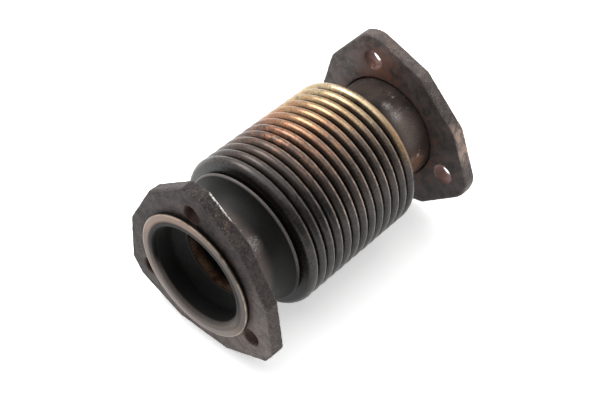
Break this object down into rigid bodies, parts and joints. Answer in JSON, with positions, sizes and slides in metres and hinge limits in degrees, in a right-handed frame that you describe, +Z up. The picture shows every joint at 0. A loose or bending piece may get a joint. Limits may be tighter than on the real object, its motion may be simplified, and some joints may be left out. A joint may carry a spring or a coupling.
{
  "type": "metal bellows expansion joint",
  "caption": "Corrugated metal bellows joint with flared end stubs, an inner flow liner and loose three-cornered bolted flanges.",
  "frame": {"origin": "centre of the inlet bolt circle, in the plane of the inlet flange's outer face", "axes": "+X along the pipe axis from the inlet to the outlet, +Z up as the joint lies on its side"},
  "size_m": [0.1514, 0.0994, 0.0988],
  "materials": {
    "stub_steel": "dull heat-darkened steel",
    "bellows_steel": "satin heat-tinted stainless steel",
    "liner_steel": "sooty and rusty steel",
    "flange_steel": "rough forged steel with light rust"
  },
  "bodies": {
    "inlet_end": {"inlet_stub": "stub_steel", "flow_liner": "liner_steel", "inlet_cuff": "bellows_steel", "convolution_01": "bellows_steel"},
    "inlet_flange": {"inlet_flange": "flange_steel"},
    "ring_02": {"convolution_02": "bellows_steel"},
    "ring_03": {"convolution_03": "bellows_steel"},
    "ring_04": {"convolution_04": "bellows_steel"},
    "ring_05": {"convolution_05": "bellows_steel"},
    "ring_06": {"convolution_06": "bellows_steel"},
    "ring_07": {"convolution_07": "bellows_steel"},
    "ring_08": {"convolution_08": "bellows_steel"},
    "ring_09": {"convolution_09": "bellows_steel"},
    "ring_10": {"convolution_10": "bellows_steel"},
    "ring_11": {"convolution_11": "bellows_steel"},
    "ring_12": {"convolution_12": "bellows_steel"},
    "outlet_end": {"convolution_13": "bellows_steel", "outlet_cuff": "bellows_steel", "outlet_stub": "stub_steel"},
    "outlet_flange": {"outlet_flange": "flange_steel"}
  },
  "joints": [
    {"name": "axial_travel", "type": "slide", "parent": "inlet_end", "child": "ring_02", "axis": [1, 0, 0], "range_m": [-0.001, 0.0014], "stiffness_N_per_m": 25000},
    {"name": "bend_vertical_inlet", "type": "hinge", "parent": "ring_02", "child": "ring_03", "pos_m": [0.0458, 0, 0], "axis": [0, -1, 0], "range_deg": [-1.4, 1.4], "stiffness_Nm_per_rad": 45},
    {"name": "bend_sideways_inlet", "type": "hinge", "parent": "ring_03", "child": "ring_04", "pos_m": [0.0518, 0, 0], "axis": [0, 0, 1], "range_deg": [-1.4, 1.4], "stiffness_Nm_per_rad": 45},
    {"name": "bend_vertical_inlet_2", "type": "hinge", "parent": "ring_04", "child": "ring_05", "pos_m": [0.0578, 0, 0], "axis": [0, -1, 0], "range_deg": [-1.4, 1.4]},
    {"name": "bend_sideways_inlet_2", "type": "hinge", "parent": "ring_05", "child": "ring_06", "pos_m": [0.0638, 0, 0], "axis": [0, 0, 1], "range_deg": [-1.4, 1.4]},
    {"name": "axial_travel_2", "type": "slide", "parent": "ring_06", "child": "ring_07", "axis": [1, 0, 0], "range_m": [-0.001, 0.0014]},
    {"name": "axial_travel_3", "type": "slide", "parent": "ring_07", "child": "ring_08", "axis": [1, 0, 0], "range_m": [-0.001, 0.0014]},
    {"name": "bend_sideways_outlet", "type": "hinge", "parent": "ring_08", "child": "ring_09", "pos_m": [0.0818, 0, 0], "axis": [0, 0, 1], "range_deg": [-1.4, 1.4], "stiffness_Nm_per_rad": 45},
    {"name": "bend_vertical_outlet", "type": "hinge", "parent": "ring_09", "child": "ring_10", "pos_m": [0.0878, 0, 0], "axis": [0, -1, 0], "range_deg": [-1.4, 1.4], "stiffness_Nm_per_rad": 45},
    {"name": "bend_sideways_outlet_2", "type": "hinge", "parent": "ring_10", "child": "ring_11", "pos_m": [0.0938, 0, 0], "axis": [0, 0, 1], "range_deg": [-1.4, 1.4]},
    {"name": "bend_vertical_outlet_2", "type": "hinge", "parent": "ring_11", "child": "ring_12", "pos_m": [0.0998, 0, 0], "axis": [0, -1, 0], "range_deg": [-1.4, 1.4]},
    {"name": "axial_travel_4", "type": "slide", "parent": "ring_12", "child": "outlet_end", "axis": [1, 0, 0], "range_m": [-0.001, 0.0014]},
    {"name": "inlet_flange_swivel", "type": "hinge", "parent": "inlet_end", "child": "inlet_flange", "pos_m": [0.0035, 0, 0], "axis": [1, 0, 0], "continuous": true},
    {"name": "outlet_flange_swivel", "type": "hinge", "parent": "outlet_end", "child": "outlet_flange", "pos_m": [0.1421, 0, 0], "axis": [1, 0, 0], "continuous": true}
  ],
  "couplings": [
    {"joint": "bend_vertical_inlet_2", "follows": "bend_vertical_inlet", "ratio": 1},
    {"joint": "bend_sideways_inlet_2", "follows": "bend_sideways_inlet", "ratio": 1},
    {"joint": "axial_travel_2", "follows": "axial_travel", "ratio": 1},
    {"joint": "axial_travel_3", "follows": "axial_travel", "ratio": 1},
    {"joint": "bend_sideways_outlet_2", "follows": "bend_sideways_outlet", "ratio": 1},
    {"joint": "bend_vertical_outlet_2", "follows": "bend_vertical_outlet", "ratio": 1},
    {"joint": "axial_travel_4", "follows": "axial_travel", "ratio": 1}
  ]
}
